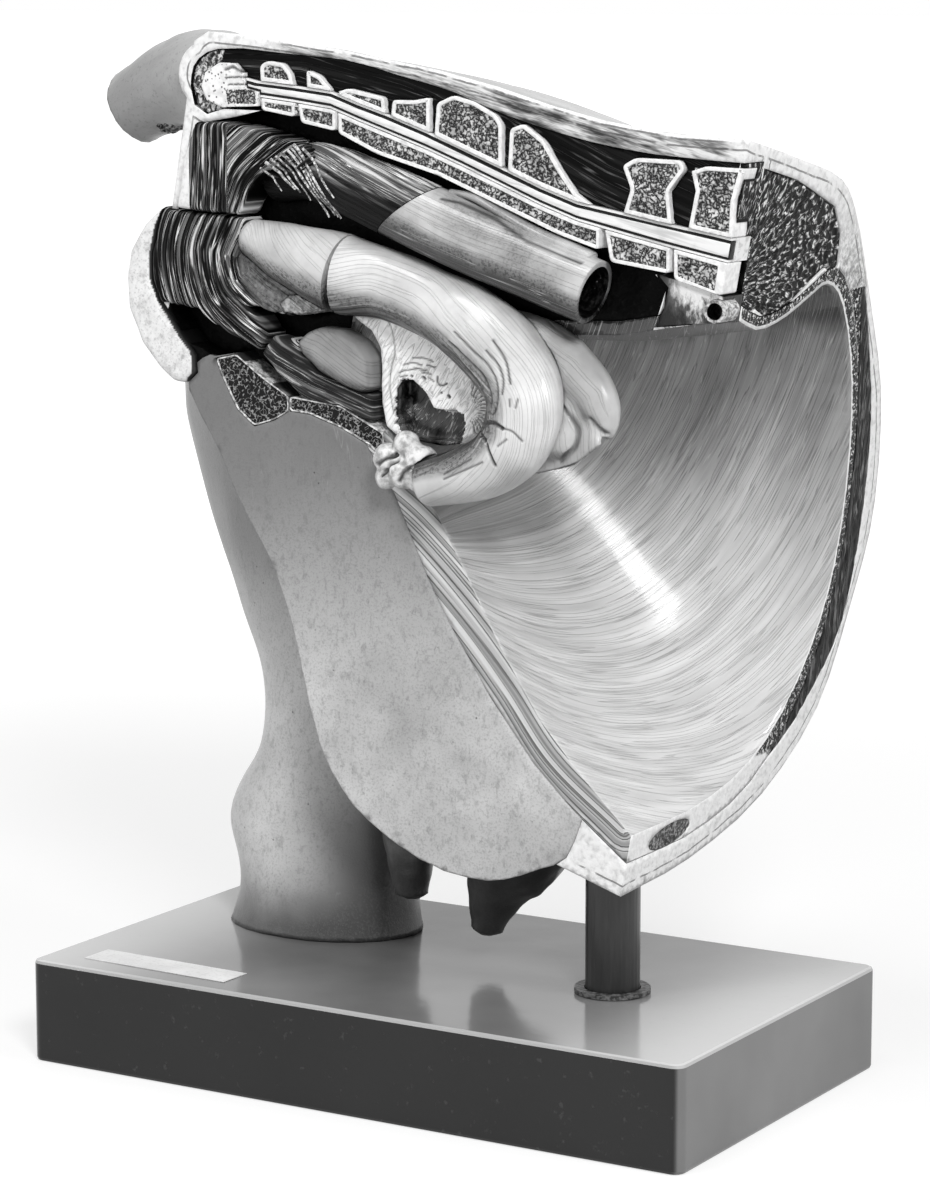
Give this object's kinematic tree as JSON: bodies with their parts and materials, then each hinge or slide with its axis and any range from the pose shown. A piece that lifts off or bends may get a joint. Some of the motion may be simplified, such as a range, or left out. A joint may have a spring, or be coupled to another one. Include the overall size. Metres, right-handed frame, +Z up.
{
  "type": "cow pelvis anatomy teaching model",
  "caption": "Half of a cow's pelvis cut open on the midline, with lift-out bowel, womb, vulva and bladder, on a lacquered block with a rod.",
  "frame": {"origin": "centre of the block's underside", "axes": "+Z up, +X towards the cow's head along the block's length, -Y out of the midline cut towards the viewer"},
  "size_m": [0.261, 0.1919, 0.3439],
  "materials": {
    "lacquered_block": "glossy grey lacquer, pale soft reflections on top",
    "felt": "dark felt",
    "black_rod": "satin black paint",
    "rod_collar_paint": "worn dark lacquer",
    "steel": "plain zinc-plated steel",
    "hide_paint": "satin mottled grey-buff paint",
    "udder_paint": "satin mottled mid-grey paint",
    "tail_paint": "satin grey paint, dark at the cut end",
    "serous_paint": "glossy pale paint with fine diagonal fibres",
    "bone_paint": "dark spongy texture inside a white rim",
    "pubic_bone_paint": "mottled spongy bone, grey and black",
    "canal_paint": "smooth near-white paint",
    "dark_muscle_paint": "nearly black, with fine streaks",
    "cut_muscle_paint": "dark mottled cut muscle",
    "fibre_muscle_paint": "dark muscle with pale drawn fibres",
    "bed_paint": "black shadow paint",
    "bowel_paint": "pale on top, shaded dark below, white cut rim, black bore",
    "lip_paint": "pale and finely mottled",
    "womb_paint": "very pale gloss with fine long streaks",
    "membrane_paint": "white with drawn radial folds",
    "bladder_paint": "striated grey gloss"
  },
  "bodies": {
    "model": {"base_board": "lacquered_block", "felt_pad_1": "felt", "felt_pad_2": "felt", "felt_pad_3": "felt", "felt_pad_4": "felt", "support_rod": "black_rod", "rod_collar": "rod_collar_paint", "rod_washer": "steel", "rod_nut": "steel", "leg_screw_1": "steel", "leg_screw_2": "steel", "body_casting": "hide_paint", "udder_half": "udder_paint", "rear_teat": "udder_paint", "front_teat": "udder_paint", "tail_stump": "tail_paint", "abdominal_wall": "serous_paint", "flank_muscle": "cut_muscle_paint", "belly_muscle": "cut_muscle_paint", "loin_muscle": "cut_muscle_paint", "back_muscle": "dark_muscle_paint", "spinal_canal": "canal_paint", "spinal_cord": "canal_paint", "pelvic_bed": "bed_paint", "anal_sphincter": "fibre_muscle_paint", "rectum_root": "fibre_muscle_paint", "pubic_bone_rear": "pubic_bone_paint", "pubic_bone_front": "pubic_bone_paint", "psoas_muscle": "cut_muscle_paint", "aorta_stump": "canal_paint", "tail_vertebra_1": "bone_paint", "tail_vertebra_2": "bone_paint", "tail_vertebra_3": "bone_paint", "sacrum": "bone_paint", "lumbar_vertebra_1": "bone_paint", "lumbar_vertebra_2": "bone_paint", "spine_process_1": "bone_paint", "spine_process_2": "bone_paint", "spine_process_3": "bone_paint", "spine_process_4": "bone_paint", "spine_process_5": "bone_paint", "spine_process_6": "bone_paint", "spine_process_7": "bone_paint", "spine_process_8": "bone_paint"},
    "rectum": {"rectum_tube": "bowel_paint", "rectum_pin": "steel"},
    "genital_block": {"labium": "lip_paint", "vestibule_muscle": "fibre_muscle_paint", "vagina": "womb_paint", "vagina_pin": "steel"},
    "womb_group": {"uterus": "womb_paint", "far_horn": "womb_paint", "ovary": "membrane_paint", "broad_ligament": "membrane_paint", "uterus_pin": "steel"},
    "bladder_block": {"bladder": "bladder_paint", "urethra": "bladder_paint", "bladder_pin": "steel"}
  },
  "joints": [
    {"name": "rectum_pull_out", "type": "slide", "parent": "model", "child": "rectum", "axis": [0, -1, 0], "range_m": [0, 0.09]},
    {"name": "genital_block_pull_out", "type": "slide", "parent": "model", "child": "genital_block", "axis": [0, -1, 0], "range_m": [0, 0.09]},
    {"name": "womb_group_pull_out", "type": "slide", "parent": "model", "child": "womb_group", "axis": [0, -1, 0], "range_m": [0, 0.09]},
    {"name": "bladder_block_pull_out", "type": "slide", "parent": "model", "child": "bladder_block", "axis": [0, -1, 0], "range_m": [0, 0.09]}
  ]
}
